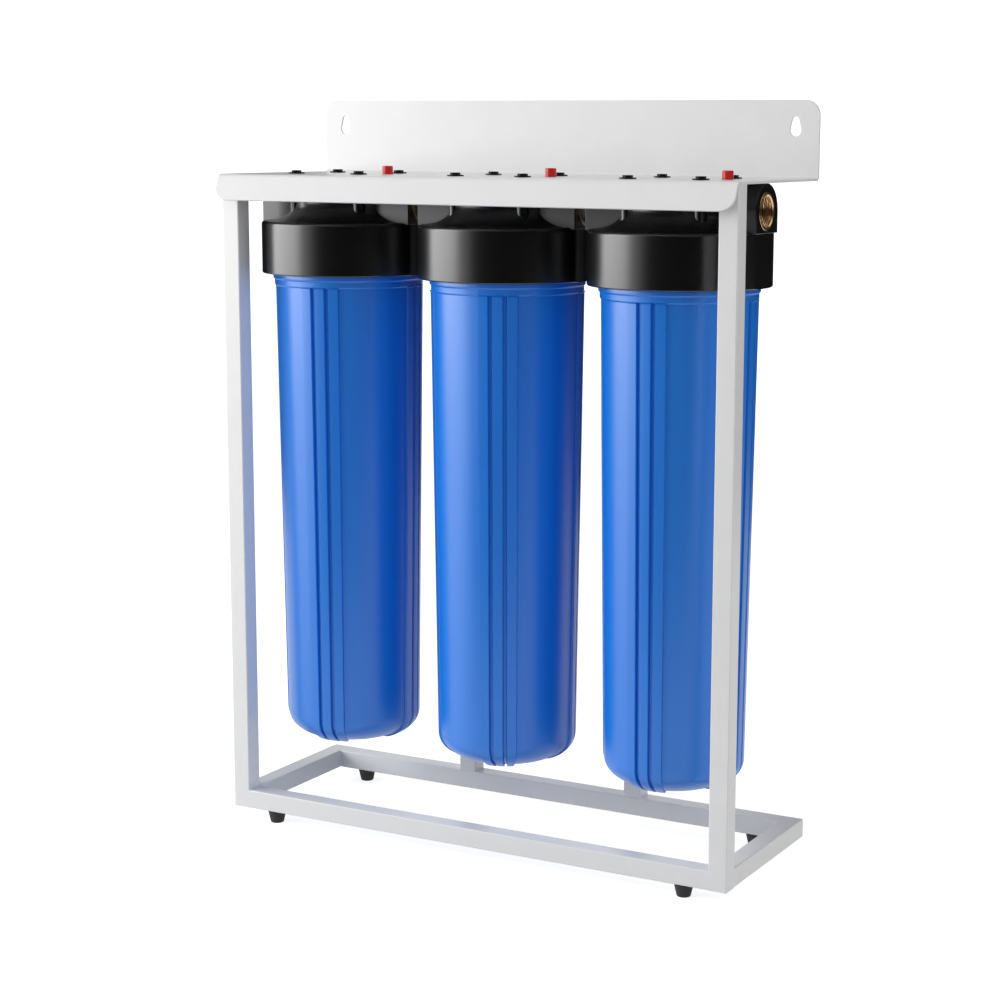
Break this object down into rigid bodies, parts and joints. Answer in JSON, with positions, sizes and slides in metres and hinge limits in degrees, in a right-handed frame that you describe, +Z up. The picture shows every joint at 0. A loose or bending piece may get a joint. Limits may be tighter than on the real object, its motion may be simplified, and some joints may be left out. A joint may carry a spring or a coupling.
{
  "type": "water filter housing",
  "caption": "Whole-house water filter set: tall blue ribbed sumps under black caps with red relief buttons, hung from a folded white bracket on a square-tube floor stand.",
  "frame": {"origin": "on the floor, under the middle of the set's bounding box", "axes": "+X from the inlet port to the outlet port, +Y to the back plate, +Z up"},
  "size_m": [0.592, 0.215, 0.78],
  "materials": {
    "powder_coat": "satin white powder coat",
    "black_plastic": "black glass-filled polypropylene, satin moulded",
    "blue_plastic": "royal blue polypropylene, glossy moulded",
    "red_plastic": "red moulded acetal",
    "brass": "machined brass",
    "nickel_brass": "nickel-plated brass",
    "blackened_steel": "blackened steel",
    "spring_steel": "spring steel wire",
    "black_rubber": "black rubber",
    "spun_polypropylene": "spun polypropylene fibre",
    "carbon_block": "pressed carbon block"
  },
  "bodies": {
    "stand": {"base_front_rail": "powder_coat", "base_rear_rail": "powder_coat", "base_left_rail": "powder_coat", "base_right_rail": "powder_coat", "front_left_post": "powder_coat", "front_right_post": "powder_coat", "rear_left_post": "powder_coat", "rear_right_post": "powder_coat", "top_bracket": "powder_coat", "front_left_foot": "black_rubber", "front_right_foot": "black_rubber", "rear_left_foot": "black_rubber", "rear_right_foot": "black_rubber", "left_cap": "black_plastic", "left_inlet_insert": "brass", "left_outlet_insert": "brass", "left_cap_screw_front_left": "blackened_steel", "left_cap_screw_rear_left": "blackened_steel", "left_cap_screw_front_right": "blackened_steel", "left_cap_screw_rear_right": "blackened_steel", "left_relief_spring": "spring_steel", "middle_cap": "black_plastic", "middle_inlet_insert": "brass", "middle_outlet_insert": "brass", "middle_cap_screw_front_left": "blackened_steel", "middle_cap_screw_rear_left": "blackened_steel", "middle_cap_screw_front_right": "blackened_steel", "middle_cap_screw_rear_right": "blackened_steel", "middle_relief_spring": "spring_steel", "right_cap": "black_plastic", "right_inlet_insert": "brass", "right_outlet_insert": "brass", "right_cap_screw_front_left": "blackened_steel", "right_cap_screw_rear_left": "blackened_steel", "right_cap_screw_front_right": "blackened_steel", "right_cap_screw_rear_right": "blackened_steel", "right_relief_spring": "spring_steel", "left_nipple": "nickel_brass", "right_nipple": "nickel_brass"},
    "left_cartridge": {"left_cartridge": "spun_polypropylene"},
    "left_sump": {"left_sump": "blue_plastic", "left_body_o_ring": "black_rubber"},
    "left_relief": {"left_relief_button": "red_plastic", "left_relief_o_ring": "black_rubber"},
    "middle_cartridge": {"middle_cartridge": "carbon_block", "middle_cartridge_low_end": "black_plastic", "middle_cartridge_top_end": "black_plastic"},
    "middle_sump": {"middle_sump": "blue_plastic", "middle_body_o_ring": "black_rubber"},
    "middle_relief": {"middle_relief_button": "red_plastic", "middle_relief_o_ring": "black_rubber"},
    "right_cartridge": {"right_cartridge": "carbon_block", "right_cartridge_low_end": "black_plastic", "right_cartridge_top_end": "black_plastic"},
    "right_sump": {"right_sump": "blue_plastic", "right_body_o_ring": "black_rubber"},
    "right_relief": {"right_relief_button": "red_plastic", "right_relief_o_ring": "black_rubber"}
  },
  "joints": [
    {"name": "left_sump_lower", "type": "slide", "parent": "stand", "child": "left_cartridge", "axis": [0, 0, -1], "range_m": [0, 0.03]},
    {"name": "left_sump_unscrew", "type": "hinge", "parent": "left_cartridge", "child": "left_sump", "pos_m": [-0.195, -0.00453, 0.5992], "axis": [0, 0, -1], "range_deg": [0, 1800]},
    {"name": "left_relief_press", "type": "slide", "parent": "stand", "child": "left_relief", "axis": [0, 0, -1], "range_m": [0, 0.003], "stiffness_N_per_m": 300, "springref_m": -0.003, "deforming": ["left_relief_spring"]},
    {"name": "middle_sump_lower", "type": "slide", "parent": "stand", "child": "middle_cartridge", "axis": [0, 0, -1], "range_m": [0, 0.03]},
    {"name": "middle_sump_unscrew", "type": "hinge", "parent": "middle_cartridge", "child": "middle_sump", "pos_m": [0, -0.00453, 0.5992], "axis": [0, 0, -1], "range_deg": [0, 1800]},
    {"name": "middle_relief_press", "type": "slide", "parent": "stand", "child": "middle_relief", "axis": [0, 0, -1], "range_m": [0, 0.003], "stiffness_N_per_m": 300, "springref_m": -0.003, "deforming": ["middle_relief_spring"]},
    {"name": "right_sump_lower", "type": "slide", "parent": "stand", "child": "right_cartridge", "axis": [0, 0, -1], "range_m": [0, 0.03]},
    {"name": "right_sump_unscrew", "type": "hinge", "parent": "right_cartridge", "child": "right_sump", "pos_m": [0.195, -0.00453, 0.5992], "axis": [0, 0, -1], "range_deg": [0, 1800]},
    {"name": "right_relief_press", "type": "slide", "parent": "stand", "child": "right_relief", "axis": [0, 0, -1], "range_m": [0, 0.003], "stiffness_N_per_m": 300, "springref_m": -0.003, "deforming": ["right_relief_spring"]}
  ],
  "couplings": [
    {"joint": "left_sump_lower", "follows": "left_sump_unscrew", "m_per_rad": 0.00095492},
    {"joint": "middle_sump_lower", "follows": "middle_sump_unscrew", "m_per_rad": 0.00095492},
    {"joint": "right_sump_lower", "follows": "right_sump_unscrew", "m_per_rad": 0.00095492}
  ]
}
